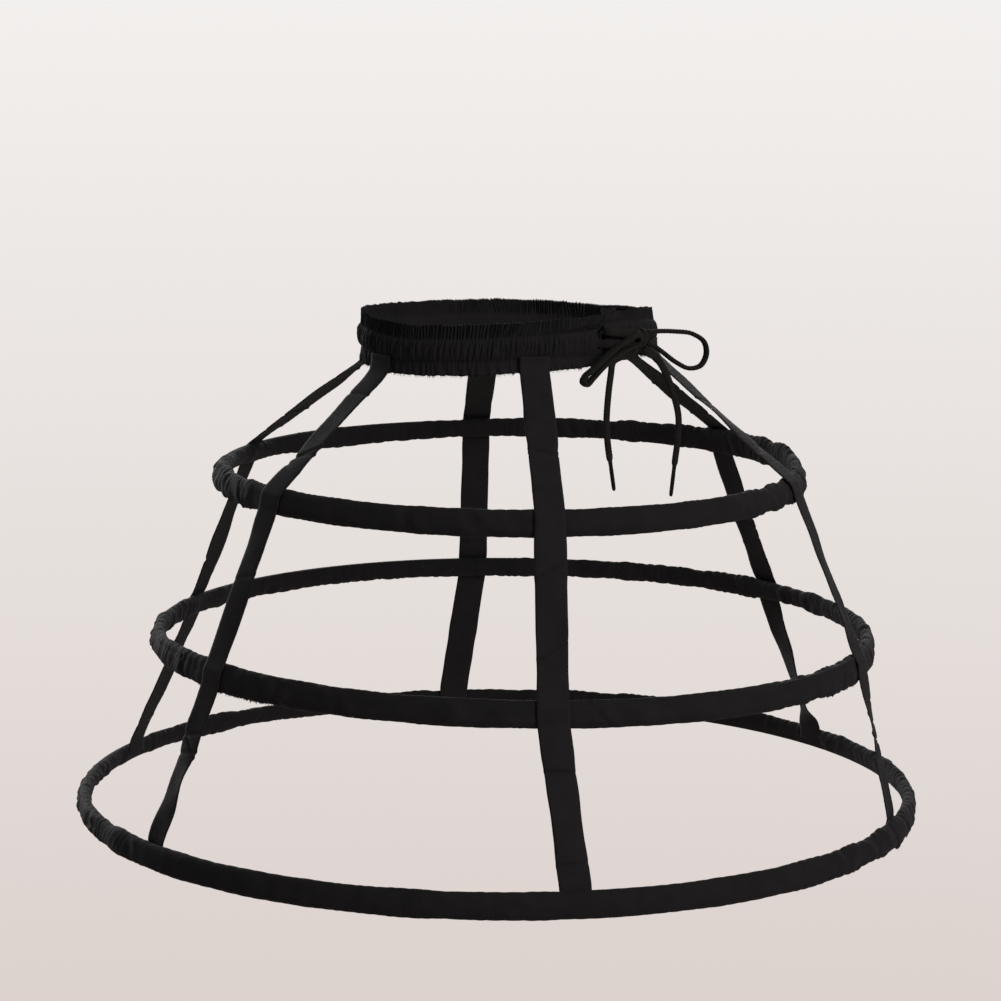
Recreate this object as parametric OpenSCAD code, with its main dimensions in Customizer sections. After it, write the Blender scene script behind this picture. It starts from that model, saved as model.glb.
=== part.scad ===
// Crinoline cage: three steel hoops in puckered cotton casings, hung on six tapes from a gathered
// waistband that is drawn up by a cord and tied in a bow at the front.
// Millimetres, +Z up. The origin is the middle of the waist, at the level of the drawstring.
// The wearer faces -Y, so the wearer's left is +X.

/* [Waist] */
// Width of the waist inside the band, side to side
waist_width = 235; // [200:1:330]
// Depth of the waist inside the band, front to back
waist_depth = 184; // [150:1:270]
// How far the front of the band rides above its sides
front_rise = 6; // [0:0.5:12]
// How far the band rides up at the wearer's right hip, and down at the left
side_ride = 8; // [0:0.5:12]
// How far the band is drawn in at the wearer's left front
side_pinch = 5.5; // [0:0.5:7]
// How far the left end of the band rides above the right end
end_lift = 4; // [0:0.5:8]
// Opening between the two ends of the band
band_opening = 8; // [7:0.5:14]

/* [Waistband] */
// Height of the pleated heading above the channel
heading_height = 8; // [4:0.5:14]
// Height of the drawstring channel, between its two rows of stitching
channel_height = 18; // [17:0.5:26]
// Height of the frill below the channel
frill_height = 10; // [6:0.5:16]
// How far the frill stands out at its raw edge
frill_flare = 2; // [0:0.25:5]
// Room inside the channel, from the inner cloth to the outer
channel_room = 4.6; // [4.2:0.1:7]
// Thickness of the gathered cloth on each side of the channel
band_cloth = 1.4; // [1.2:0.1:2.5]
// Depth of a gather, from its mean line to its crest
gather_depth = 0.8; // [0.3:0.1:1]
// Number of gathers round the band
gather_count = 72; // [40:1:80]

/* [Hoops] */
// Diameter of the top hoop, at the middle of its casing
top_hoop_diameter = 420; // [360:1:460]
// Diameter of the middle hoop, at the middle of its casing
middle_hoop_diameter = 520; // [470:1:560]
// Diameter of the bottom hoop, at the middle of its casing
bottom_hoop_diameter = 608; // [570:1:720]
// Drop from the drawstring to the top hoop
top_hoop_drop = 102; // [80:1:150]
// Drop from each hoop to the next
hoop_spacing = 120; // [90:1:170]

/* [Casings] */
// Height of a hoop casing
casing_height = 18; // [17:0.5:24]
// Depth of a hoop casing, from its inner face to its outer
casing_depth = 8.5; // [7.5:0.1:12]
// Thickness of the casing's cloth at its sides
casing_cloth = 1.3; // [1.1:0.1:1.8]
// Thickness of the casing's seams at its top and bottom
casing_seam = 2; // [1.5:0.1:2.5]
// Depth of a pucker, from its mean line to its crest
pucker_depth = 0.6; // [0.2:0.1:0.8]
// Number of puckers round each casing
pucker_count = 60; // [30:1:64]

/* [Steels] */
// Height of the flat hoop steel
steel_height = 9; // [6:0.5:9.5]
// Thickness of the hoop steel
steel_thickness = 1.4; // [0.8:0.1:1.8]
// Gap between the two ends of a steel, inside its ferrule
steel_gap = 2; // [1:0.5:6]
// Length of the ferrule that joins the two ends
ferrule_length = 24; // [16:1:40]
// Wall of the ferrule
ferrule_wall = 0.5; // [0.3:0.1:0.7]

/* [Tapes] */
// Width of a tape
tape_width = 22; // [12:0.5:28]
// Thickness of a tape
tape_thickness = 1; // [0.6:0.1:1.6]
// Length of tape sewn down on the channel
tape_lap = 5; // [3:0.5:8]

/* [Drawstring] */
// Width of the flat braid
braid_width = 5.5; // [4:0.1:5.8]
// Thickness of the flat braid
braid_thickness = 3; // [2:0.1:3.2]
// How far the two ends of the braid sit above and below the middle of the channel
braid_offset = 3; // [2.8:0.1:3.2]
// Diameter of the knot
knot_diameter = 11; // [9:0.5:14]
// Height of the knot
knot_height = 13; // [12:0.5:16]
// Drop of the knot below the channel behind it
knot_drop = 5; // [2:0.5:8]
// Diameter of an aglet
aglet_diameter = 2.6; // [2:0.1:3.6]
// Length of an aglet
aglet_length = 20; // [12:1:30]

/* [Hidden] */
$fn = 160;

cotton_black = [0.11, 0.10, 0.11];
tape_black = [0.15, 0.14, 0.15];
braid_black = [0.18, 0.17, 0.18];
aglet_black = [0.05, 0.05, 0.05];
steel_grey = [0.62, 0.63, 0.65];
ferrule_brass = [0.72, 0.66, 0.50];

// Clearance at which soft pieces lie on each other
seat = 0.3;
// Clearance of a steel inside its ferrule
ferrule_fit = 0.15;
// Clearance at which a ferrule bears on the casing's outer cloth
ferrule_seat = 0.6;

// Angles are measured round the wearer from the front, towards the wearer's left.
waist_a = waist_width / 2;
waist_b = waist_depth / 2;
opening_angle = -7.5;
half_opening = band_opening / waist_width * 180 / PI;
band_start = opening_angle + half_opening;
band_end = opening_angle - half_opening + 360;
// Angle over which the lift of the left end fades out
lift_fade = 100;
// Shares of the side ride at angles round the waist
ride_shares = [
    [0, 0], [12, 0], [30, -0.3], [50, -0.8], [70, -1], [100, -0.75], [140, 0],
    [180, 0.5], [215, 0.9], [235, 0.95], [255, 0.5], [275, 0.1], [300, 0], [360, 0],
];

// Shares of the side pinch at angles round the waist
pinch_shares = [
    [0, 0], [10, 0], [20, 0.05], [30, 0.25], [40, 0.6], [50, 0.9], [60, 1],
    [80, 1], [100, 0.75], [120, 0.35], [140, 0.08], [150, 0], [360, 0],
];

// Stations along the band: two to each gather outside, fewer along the channel
band_steps = 2 * gather_count;
channel_steps = 30;
// How much the gathers grow and shrink along the band, and how often
gather_swing_share = 0.3;
gather_swings = 11;

// Section of the band, measured outwards from its inner face
channel_half = channel_height / 2;
bulge_share = 0.55;
bulge_half = channel_half * bulge_share;
band_depth = 2 * band_cloth + channel_room;
layers_inside = band_cloth;
layers_outside = 3 * band_cloth;
hole_half_share = 0.72;
// Corners of the channel's hole, as shares of its depth and of its half height
hole_shares = [
    [0.40, 1], [0.55, 1], [1, 0.65], [1, -0.65], [0.50, -1],
    [0.38, -1], [0.22, -1], [0, -0.65], [0, 0.65], [0.22, 1],
];
band_corners = len(hole_shares);

// Section of a casing, as shares of its half depth and half height, clockwise from the outer shoulder
casing_shoulder_share = 0.6;
casing_side_share = 0.5;
casing_shares = [
    [casing_shoulder_share, 1], [1, casing_side_share],
    [1, -casing_side_share], [casing_shoulder_share, -1],
    [-casing_shoulder_share, -1], [-1, -casing_side_share],
    [-1, casing_side_share], [-casing_shoulder_share, 1],
];
casing_steps = 2 * pucker_count;
casing_reach = casing_depth / 2 + pucker_depth;
pucker_swing_share = 0.5;
pucker_swings = 5;
tunnel_height = casing_height - 2 * casing_seam;
tunnel_depth = casing_depth - 2 * casing_cloth;
tunnel_corner_share = 0.42;

top_hoop_level = -top_hoop_drop;
middle_hoop_level = top_hoop_level - hoop_spacing;
bottom_hoop_level = middle_hoop_level - hoop_spacing;
// The lower hoops hang a little off the middle of the cage
middle_hoop_sway = [2.3, -2.8];
bottom_hoop_sway = [-4.6, 5.5];
top_hoop_place = [0, 0, top_hoop_level];
middle_hoop_place = [each middle_hoop_sway, middle_hoop_level];
bottom_hoop_place = [each bottom_hoop_sway, bottom_hoop_level];

// The steel's joint is at the wearer's back, and its ferrule bears on the casing's outer cloth
joint_angle = 90;
ferrule_depth = steel_thickness + 2 * (ferrule_fit + ferrule_wall);
ferrule_height = steel_height + 2 * (ferrule_fit + ferrule_wall);
steel_inset = tunnel_depth / 2 - ferrule_seat - ferrule_depth / 2;

// Directions of a tape at the band, the top hoop, the middle hoop and the bottom hoop
tape_right_front_angles = [-42, -42.75, -44.25, -39.75];
tape_left_front_angles = [34, 23, 19.5, 20.75];
tape_left_side_angles = [83, 81, 81.25, 74.5];
tape_left_back_angles = [139, 137, 137, 137];
tape_right_back_angles = [205, 190.5, 196.25, 198.75];
tape_right_side_angles = [259, 259.25, 258, 257.75];
tape_clear = seat + tape_thickness / 2;
tape_lap_reach = band_depth + gather_depth + tape_clear;
tape_frill_reach = max(tape_lap_reach, layers_outside + frill_flare + gather_depth + tape_clear);
// Share of the way from the band to the top hoop at which a tape turns with the hoop
tape_turn_share = 0.5;

// The knot lies on the band, to the left of the opening
knot_angle = 8;
knot_reach = band_depth + gather_depth / 2 + seat + knot_diameter / 2;
knot_edge_share = 0.36;
aglet_tip_share = 0.5;

braid_sides = 8;
braid_reach = band_cloth + seat + braid_thickness / 2;

// Routes of the free braid, as offsets from the middle of the knot
run_left_route = [
    [-6, 2, 4], [-14, 1.2, 4.6], [-23, 1, 5.8], [-31, 1.8, 7], [-33.6, 4.2, 7.6],
    [-32.5, 6.9, 8.2], [-29.5, 9.4, 8.8],
];
run_right_route = [
    [-37, 9.8, -1.4], [-33.5, 6.4, -1.6], [-29.5, 2.4, -1.8], [-23, 1, -2.2],
    [-14, 1.2, -2.8], [-6, 2, -3],
];
loop_left_route = [
    [-6, -3.6, 4], [-14, -3.8, 2], [-30, -3, -3.6], [-46, -2.4, -11.6], [-57, -1.8, -17.5],
    [-63, -1, -21], [-65.5, -1, -24.5], [-62, -1, -27.2], [-55.5, -1.2, -23.6], [-47, -1.6, -18],
    [-34, -2.4, -11.2], [-20, -3, -6.6], [-6, -3.6, -3.6],
];
loop_right_route = [
    [5.6, -1.9, 4], [14, -4.4, 4], [28, -9.6, 3], [41, -16, 0.5], [49, -20.4, -6],
    [50.5, -21.2, -14], [46, -19.4, -22.5], [38, -15.4, -24], [29, -11, -19.5],
    [18, -6, -11], [10, -3, -5.4], [5.6, -1.9, -3.4],
];
tail_left_route = [
    [-2.4, 1, -6.9], [-3.4, 1.4, -9.6], [-10, 2.2, -11.6], [-20, 2.3, -11.8], [-28, 2, -14.5],
    [-31, 1.6, -24], [-34.5, 1, -40], [-36.5, 0.4, -56], [-35.5, -0.2, -72], [-32.5, -0.6, -87],
];
tail_right_route = [
    [3, -2, -6.9], [5, -2.4, -9.6], [14, -4, -15], [21, -7, -26], [26, -10, -40],
    [29.5, -13, -58], [29, -13, -76], [26.4, -13, -90], [25.4, -13, -96],
];
// Across the flat of each loop, and through the thickness of the hanging tails
loop_left_across = [0, 1, 0];
loop_right_across = [0.4, 0.9, 0];
tail_through = [0, 1, 0];

function unit(v) = v / norm(v);
function mix(a, b, share) = a + (b - a) * share;

// Level of the drawstring round the waist: high at the front, with a step at the opening
function past_start(t) = (t - band_start + 720) % 360;
function ride(t) = side_ride * lookup((t + 720) % 360, ride_shares);
function level(t) = front_rise * cos(t) + end_lift * max(0, 1 - past_start(t) / lift_fade) + ride(t);

// Directions and points round the waist's oval, which is drawn in on one side
function pinch(t) = side_pinch * lookup((t + 720) % 360, pinch_shares);
function outward(t) = unit([waist_b * sin(t), -waist_a * cos(t), 0]);
function sideways(t) = unit([waist_a * cos(t), waist_b * sin(t), 0]);
function waist_point(t, out, up) =
    [waist_a * sin(t), -waist_b * cos(t), level(t) + up] + (out - pinch(t)) * outward(t);
function oval_angle(direction) = atan2(waist_b * sin(direction), waist_a * cos(direction));

// Points round a hoop
function hoop_point(place, direction, radius, up) =
    place + [radius * sin(direction), -radius * cos(direction), up];
function hoop_side(direction) = [cos(direction), sin(direction), 0];

knot_place = waist_point(knot_angle, knot_reach, -knot_drop);
function from_knot(route) = [for (p = route) knot_place + p];

// Skins of rings of points: each quadrilateral is two triangles, clockwise seen from outside
function quad(a, b, c, d) = [[a, b, c], [a, c, d]];
function flipped(faces) = [for (f = faces) [for (i = [len(f) - 1 : -1 : 0]) f[i]]];
function strip(p, q, sides) = [
    for (k = [0 : sides - 1])
        let (l = (k + 1) % sides)
            each quad(p + k, q + k, q + l, p + l)
];
function skin(rings, sides, first) = [
    for (j = [0 : rings - 2])
        each strip(first + j * sides, first + (j + 1) * sides, sides)
];
function joined(rings) = [for (r = rings) each r];

// Flat caps at the two ends of a tube of rings
function end_caps(rings, sides) = [
    [for (k = [0 : sides - 1]) k],
    [for (k = [0 : sides - 1]) rings * sides - 1 - k],
];

// A tube of rings with a flat cap at each end
module capped_tube(rings) {
    sides = len(rings[0]);
    polyhedron(joined(rings), concat(skin(len(rings), sides, 0), end_caps(len(rings), sides)));
}

// Direction of a route at one of its points
function heading(route, i) =
    unit(route[min(i + 1, len(route) - 1)] - route[max(i - 1, 0)]);

// Flat braid along a route: one size lies along the given direction, the other square to it
function braid_ring(place, ahead, along, along_size, square_size) =
    let (s = unit(along - (along * ahead) * ahead), o = cross(ahead, s))
        [for (k = [0 : braid_sides - 1])
            let (a = 360 * (k + 0.5) / braid_sides)
                place + s * cos(a) * along_size / 2 + o * sin(a) * square_size / 2];

module braid(route, along, along_size, square_size) {
    capped_tube([for (i = [0 : len(route) - 1])
        braid_ring(route[i], heading(route, i), along, along_size, square_size)]);
}

// The waistband is one strip with gathered cloth outside and a smooth channel inside, open at its ends
function gather(j) =
    j == 0 || j == band_steps ? 0 :
    (j % 2 == 0 ? 1 : -1) * gather_depth
        * (1 - gather_swing_share + gather_swing_share * sin(gather_swings * 360 * j / band_steps));

function band_outline(g) = [
    [layers_outside + g, channel_half + heading_height],
    [layers_outside + g / 2, channel_half],
    [band_depth + g, bulge_half],
    [band_depth + g, -bulge_half],
    [layers_outside + g / 2, -channel_half],
    [layers_outside + frill_flare + g, -channel_half - frill_height],
    [layers_inside + frill_flare + g, -channel_half - frill_height],
    [0, -bulge_half],
    [0, bulge_half],
    [layers_inside + g, channel_half + heading_height],
];

function band_ring(j) =
    let (t = mix(band_start, band_end, j / band_steps))
        [for (p = band_outline(gather(j))) waist_point(t, p[0], p[1])];

function channel_ring(j) =
    let (t = mix(band_start, band_end, j / channel_steps))
        [for (s = hole_shares)
            waist_point(t, band_cloth + s[0] * channel_room, s[1] * channel_half * hole_half_share)];

// End of the band, between the cloth's outline and the channel's hole
function band_cap(outline, hole) = [
    for (k = [0 : band_corners - 1])
        let (l = (k + 1) % band_corners)
            each k < 4
                ? [[outline + k, outline + l, hole + k], [outline + l, hole + l, hole + k]]
                : [[outline + k, outline + l, hole + l], [outline + k, hole + l, hole + k]]
];

module waistband() {
    cloth = [for (j = [0 : band_steps]) band_ring(j)];
    channel = [for (j = [0 : channel_steps]) channel_ring(j)];
    hole = len(cloth) * band_corners;
    color(cotton_black)
    polyhedron(
        joined(concat(cloth, channel)),
        concat(
            skin(len(cloth), band_corners, 0),
            flipped(skin(len(channel), band_corners, hole)),
            band_cap(0, hole),
            flipped(band_cap(band_steps * band_corners, hole + channel_steps * band_corners))
        )
    );
}

module drawstring_run() {
    channel_route = [for (j = [1 : channel_steps - 1])
        let (share = j / channel_steps, up = mix(braid_offset, -braid_offset, share))
            waist_point(mix(band_start, band_end, share), braid_reach, up)];
    route = concat(from_knot(run_left_route), channel_route, from_knot(run_right_route));
    color(braid_black)
    braid(route, [0, 0, 1], braid_width, braid_thickness);
}

// Rectangle with round corners, about the origin
module round_section(width, height, corner) {
    square([width - 2 * corner, height], center = true);
    square([width, height - 2 * corner], center = true);
    for (x = [-1, 1], y = [-1, 1])
        translate([x * (width / 2 - corner), y * (height / 2 - corner)])
            circle(corner);
}

module bow_knot() {
    color(braid_black)
    translate(knot_place)
    rotate_extrude()
    intersection() {
        round_section(knot_diameter, knot_height, knot_diameter * knot_edge_share);
        translate([0, -knot_height / 2]) square([knot_diameter / 2, knot_height]);
    }
}

module bow_loop_left() {
    color(braid_black)
    braid(from_knot(loop_left_route), loop_left_across, braid_width, braid_thickness);
}

module bow_loop_right() {
    color(braid_black)
    braid(from_knot(loop_right_route), loop_right_across, braid_width, braid_thickness);
}

module tail_left() {
    color(braid_black)
    braid(from_knot(tail_left_route), tail_through, braid_thickness, braid_width);
}

module tail_right() {
    color(braid_black)
    braid(from_knot(tail_right_route), tail_through, braid_thickness, braid_width);
}

// An aglet carries on from the last stretch of its tail
module aglet(route) {
    last = len(route) - 1;
    ahead = heading(route, last);
    radius = aglet_diameter / 2;
    color(aglet_black)
    translate(knot_place + route[last] + seat * ahead)
    rotate([0, acos(ahead[2]), atan2(ahead[1], ahead[0])])
    rotate_extrude()
    polygon([
        [0, 0], [radius, 0], [radius, aglet_length - radius],
        [radius * aglet_tip_share, aglet_length], [0, aglet_length],
    ]);
}

module aglet_left() aglet(tail_left_route);
module aglet_right() aglet(tail_right_route);

// A casing is a ring of puckered cloth with a plain tunnel for its steel
function pucker(j) =
    (j % 2 == 0 ? 1 : -1) * pucker_depth
        * (1 - pucker_swing_share + pucker_swing_share * sin(pucker_swings * 360 * j / casing_steps));

function casing_ring(j, diameter, place) =
    [for (s = casing_shares)
        hoop_point(
            place,
            360 * j / casing_steps,
            (diameter + s[0] * casing_depth) / 2 + s[0] * pucker(j),
            s[1] * (casing_height / 2 + pucker(j))
        )];

module casing(diameter, place) {
    corners = len(casing_shares);
    rings = [for (j = [0 : casing_steps - 1]) casing_ring(j, diameter, place)];
    color(cotton_black)
    difference() {
        polyhedron(
            joined(rings),
            concat(skin(casing_steps, corners, 0), strip((casing_steps - 1) * corners, 0, corners))
        );
        translate(place)
        rotate_extrude()
        translate([diameter / 2, 0])
        round_section(tunnel_depth, tunnel_height, tunnel_depth * tunnel_corner_share);
    }
}

module casing_top() casing(top_hoop_diameter, top_hoop_place);
module casing_middle() casing(middle_hoop_diameter, middle_hoop_place);
module casing_bottom() casing(bottom_hoop_diameter, bottom_hoop_place);

// Radius at which a hoop's steel runs
function steel_radius(diameter) = diameter / 2 + steel_inset;
function arc_angle(length, radius) = length / radius * 180 / PI;

module steel(diameter, place) {
    radius = steel_radius(diameter);
    open = arc_angle(steel_gap, radius);
    color(steel_grey)
    translate(place)
    rotate([0, 0, joint_angle + open / 2])
    rotate_extrude(angle = 360 - open)
    translate([radius, 0])
    square([steel_thickness, steel_height], center = true);
}

module steel_top() steel(top_hoop_diameter, top_hoop_place);
module steel_middle() steel(middle_hoop_diameter, middle_hoop_place);
module steel_bottom() steel(bottom_hoop_diameter, bottom_hoop_place);

module ferrule(diameter, place) {
    radius = steel_radius(diameter);
    arc = arc_angle(ferrule_length, radius);
    color(ferrule_brass)
    translate(place)
    rotate([0, 0, joint_angle - arc / 2])
    rotate_extrude(angle = arc)
    translate([radius, 0])
    difference() {
        square([ferrule_depth, ferrule_height], center = true);
        square([ferrule_depth, ferrule_height] - 2 * [ferrule_wall, ferrule_wall], center = true);
    }
}

module ferrule_top() ferrule(top_hoop_diameter, top_hoop_place);
module ferrule_middle() ferrule(middle_hoop_diameter, middle_hoop_place);
module ferrule_bottom() ferrule(bottom_hoop_diameter, bottom_hoop_place);

// A tape lies on the band, over the top and middle casings and inside the bottom one
function over_casing(direction, diameter, place) = [
    hoop_point(
        place,
        direction,
        diameter / 2 + casing_shoulder_share * casing_reach + tape_clear,
        casing_height / 2 + pucker_depth + tape_clear
    ),
    hoop_point(
        place,
        direction,
        diameter / 2 + casing_reach + tape_clear,
        casing_side_share * casing_height / 2
    ),
    hoop_point(
        place,
        direction,
        diameter / 2 + casing_reach + tape_clear,
        -casing_side_share * casing_height / 2
    ),
];

function in_casing(direction, diameter, place) =
    let (
        inner = diameter / 2 - casing_reach - seat,
        radius = sqrt(inner * inner - tape_width * tape_width / 4) - tape_thickness / 2
    ) [
        hoop_point(place, direction, radius, casing_height / 2 + pucker_depth),
        hoop_point(place, direction, radius, 0),
    ];

function tape_line(angles) =
    let (
        t = oval_angle(angles[0]),
        band = [
            waist_point(t, tape_lap_reach, tape_lap - channel_half),
            waist_point(t, tape_lap_reach, -channel_half),
            waist_point(t, tape_frill_reach, -channel_half - frill_height),
        ],
        top = over_casing(angles[1], top_hoop_diameter, top_hoop_place),
        middle = over_casing(angles[2], middle_hoop_diameter, middle_hoop_place),
        bottom = in_casing(angles[3], bottom_hoop_diameter, bottom_hoop_place)
    )
        concat(band, [mix(band[2], top[0], tape_turn_share)], top, middle, bottom);

// Directions across a tape, one to each point of its line
function tape_sides(angles) =
    let (
        band = sideways(oval_angle(angles[0])),
        top = hoop_side(angles[1]),
        middle = hoop_side(angles[2]),
        bottom = hoop_side(angles[3])
    )
        [band, band, band, unit(band + top), top, top, top, middle, middle, middle, bottom, bottom];

function tape_ring(place, ahead, side) =
    let (across = side * tape_width / 2, through = unit(cross(ahead, side)) * tape_thickness / 2)
        [for (s = [[1, 1], [-1, 1], [-1, -1], [1, -1]]) place + s[0] * across + s[1] * through];

// The two faces of a tape are split along the same diagonals, so it keeps its thickness where it twists
function tape_skin(rings) = [
    for (j = [0 : rings - 2])
        let (p = 4 * j, q = p + 4)
            each concat(
                quad(p, q, q + 1, p + 1), quad(p + 1, q + 1, q + 2, p + 2),
                quad(q + 2, q + 3, p + 3, p + 2), quad(p + 3, q + 3, q, p)
            )
];

module tape(angles) {
    line = tape_line(angles);
    sides = tape_sides(angles);
    rings = [for (i = [0 : len(line) - 1]) tape_ring(line[i], heading(line, i), sides[i])];
    color(tape_black)
    polyhedron(joined(rings), concat(tape_skin(len(rings)), end_caps(len(rings), len(rings[0]))));
}

module tape_right_front() tape(tape_right_front_angles);
module tape_left_front() tape(tape_left_front_angles);
module tape_left_side() tape(tape_left_side_angles);
module tape_left_back() tape(tape_left_back_angles);
module tape_right_back() tape(tape_right_back_angles);
module tape_right_side() tape(tape_right_side_angles);

waistband();
drawstring_run();
bow_knot();
bow_loop_left();
bow_loop_right();
tail_left();
tail_right();
aglet_left();
aglet_right();
casing_top();
casing_middle();
casing_bottom();
steel_top();
steel_middle();
steel_bottom();
ferrule_top();
ferrule_middle();
ferrule_bottom();
tape_right_front();
tape_left_front();
tape_left_side();
tape_left_back();
tape_right_back();
tape_right_side();
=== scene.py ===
from math import cos, pi, radians, sin

import bmesh
import bpy
import numpy as np
from mathutils import Matrix


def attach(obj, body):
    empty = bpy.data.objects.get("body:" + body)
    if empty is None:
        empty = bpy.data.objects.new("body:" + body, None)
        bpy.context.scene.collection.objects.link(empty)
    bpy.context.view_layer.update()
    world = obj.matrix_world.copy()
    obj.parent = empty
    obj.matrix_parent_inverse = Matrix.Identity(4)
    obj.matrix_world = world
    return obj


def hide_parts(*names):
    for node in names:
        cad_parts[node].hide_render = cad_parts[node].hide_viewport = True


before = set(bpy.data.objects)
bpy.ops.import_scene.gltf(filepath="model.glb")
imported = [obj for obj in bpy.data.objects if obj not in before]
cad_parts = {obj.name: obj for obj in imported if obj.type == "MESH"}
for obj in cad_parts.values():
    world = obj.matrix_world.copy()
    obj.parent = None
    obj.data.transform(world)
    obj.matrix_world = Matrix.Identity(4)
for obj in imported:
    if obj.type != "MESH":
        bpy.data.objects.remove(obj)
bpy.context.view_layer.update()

# Camera
# It stands off the wearer's right front, a little above the waist, where the photograph was taken from.
# The ovals of the three level hoops give its distance, height, tilt and roll.
photo_pixels = 1001
focal_pixels = 3700
sensor_width = 36.0
camera_azimuth = radians(50)
camera_aside = -0.0065
camera_distance = 2.6646
camera_height = 0.3465
camera_tilt = radians(10.0)
camera_roll = radians(-0.56)

image_right = np.array([cos(camera_azimuth), -sin(camera_azimuth), 0])
nearer = np.array([-sin(camera_azimuth), -cos(camera_azimuth), 0])
upwards = np.array([0, 0, 1.0])
view_back = nearer * cos(camera_tilt) + upwards * sin(camera_tilt)
view_up = upwards * cos(camera_tilt) - nearer * sin(camera_tilt)
camera_x = image_right * cos(camera_roll) - view_up * sin(camera_roll)
camera_y = image_right * sin(camera_roll) + view_up * cos(camera_roll)
camera_place = image_right * camera_aside + nearer * camera_distance + upwards * camera_height


def new_object(name, data):
    """An object of the given data, placed in the scene."""
    made = bpy.data.objects.new(name, data)
    bpy.context.scene.collection.objects.link(made)
    return made


def stand(thing, place, x_axis, y_axis, back):
    """Stands a camera or a lamp at a place, so that it looks away from its back."""
    turn = Matrix(np.column_stack([x_axis, y_axis, back]).tolist()).to_4x4()
    thing.matrix_world = Matrix.Translation(place.tolist()) @ turn


camera_data = bpy.data.cameras.new("camera")
camera_data.sensor_width = sensor_width
camera_data.lens = focal_pixels / photo_pixels * sensor_width
camera_data.clip_end = 100
camera = new_object("camera", camera_data)
stand(camera, camera_place, camera_x, camera_y, view_back)
bpy.context.scene.camera = camera

# Drawstring and bow
# One flat plaited braid of black cotton, 5.5 mm wide, runs round the waist inside the band's channel.
# Its ends come out at the opening and are tied at the wearer's left front: a knot, two loops, two tails.

# Meshes are worked out in millimetres, from the middle of the waist at the level of the drawstring
MM = 0.001
waist_half_width = 117.5
waist_half_depth = 92.0
front_rise = 6.0
end_lift = 4.0
lift_fade = radians(100)
# The band also rides up on the wearer's right hip and sits lower on the left, in degrees round the waist
ride_degrees = [0, 12, 30, 50, 70, 100, 140, 180, 215, 235, 255, 275, 300, 360]
ride_heights = [0, 0, -2.4, -6.4, -8, -6, 0, 4, 7.2, 7.6, 4, 0.8, 0, 0]
# It is drawn in at the left front
pinch_degrees = [0, 10, 20, 30, 40, 50, 60, 80, 100, 120, 140, 150, 360]
pinch_depths = [0, 0, 0.28, 1.38, 3.3, 4.95, 5.5, 5.5, 4.13, 1.93, 0.44, 0, 0]
band_opening = 8.0
opening_angle = radians(-7.5)
opening_half_angle = band_opening / (2 * waist_half_width)
band_start = opening_angle + opening_half_angle
band_end = opening_angle - opening_half_angle + 2 * pi
band_depth = 7.4

braid_width = 5.5
braid_thickness = 3.0
braid_offset = 3.0
braid_reach = 3.2
braid_corners = 28
braid_roundness = 0.8
braid_step = 0.42
plait_length = 2.5
plait_strands = 6
plait_relief = 0.5
plait_mean_share = 0.45
braid_taper = 5.5
route_fineness = 30
channel_points = 30

knot_angle = radians(8)
knot_reach = 13.6
knot_drop = 5.0
knot_stations = 90


def unit(vectors):
    """The same directions, each with a length of 1."""
    return vectors / np.linalg.norm(vectors, axis=-1, keepdims=True)


def lengths_along(points):
    """Length from the first point to each point of a line."""
    return np.concatenate([[0], np.cumsum(np.linalg.norm(np.diff(points, axis=0), axis=1))])


def drawstring_level(t):
    """Height of the drawstring at an angle round the waist: high in front, with a step at the opening."""
    past_start = (t - band_start) % (2 * pi)
    ride = np.interp(np.degrees(t) % 360, ride_degrees, ride_heights)
    return front_rise * np.cos(t) + end_lift * np.maximum(0, 1 - past_start / lift_fade) + ride


def pinch(t):
    """How far the waist's oval is drawn in at an angle round it."""
    return np.interp(np.degrees(t) % 360, pinch_degrees, pinch_depths)


def waist_point(t, out, up):
    """Points round the waist's oval, out from its line and up from the drawstring."""
    t, out, up = np.broadcast_arrays(t, out, up)
    out = out - pinch(t)
    x = waist_half_width * np.sin(t)
    y = -waist_half_depth * np.cos(t)
    outward = unit(np.stack([waist_half_depth * np.sin(t), -waist_half_width * np.cos(t)], -1))
    return np.stack([x + out * outward[..., 0], y + out * outward[..., 1], drawstring_level(t) + up], -1)


def points_at(places, lengths, points):
    """Points at places along a line, whose own points lie at the given lengths."""
    return np.column_stack([np.interp(places, lengths, points[:, k]) for k in range(3)])


def smooth_route(points, step):
    """A smooth curve through the given points, as points a step apart."""
    points = np.asarray(points, float)
    places = lengths_along(points)
    slopes = np.gradient(points, places, axis=0)
    fine = np.linspace(0, places[-1], route_fineness * len(points))
    first = np.clip(np.searchsorted(places, fine, "right") - 1, 0, len(points) - 2)
    gap = np.diff(places)[first]
    u = ((fine - places[first]) / gap)[:, None]
    gap = gap[:, None]
    curve = (2 * u**3 - 3 * u**2 + 1) * points[first] + (3 * u**2 - 2 * u**3) * points[first + 1]
    curve += (u**3 - 2 * u**2 + u) * gap * slopes[first] + (u**3 - u**2) * gap * slopes[first + 1]
    fine_lengths = lengths_along(curve)
    even = np.linspace(0, fine_lengths[-1], round(fine_lengths[-1] / step) + 1)
    return points_at(even, fine_lengths, curve)


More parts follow.
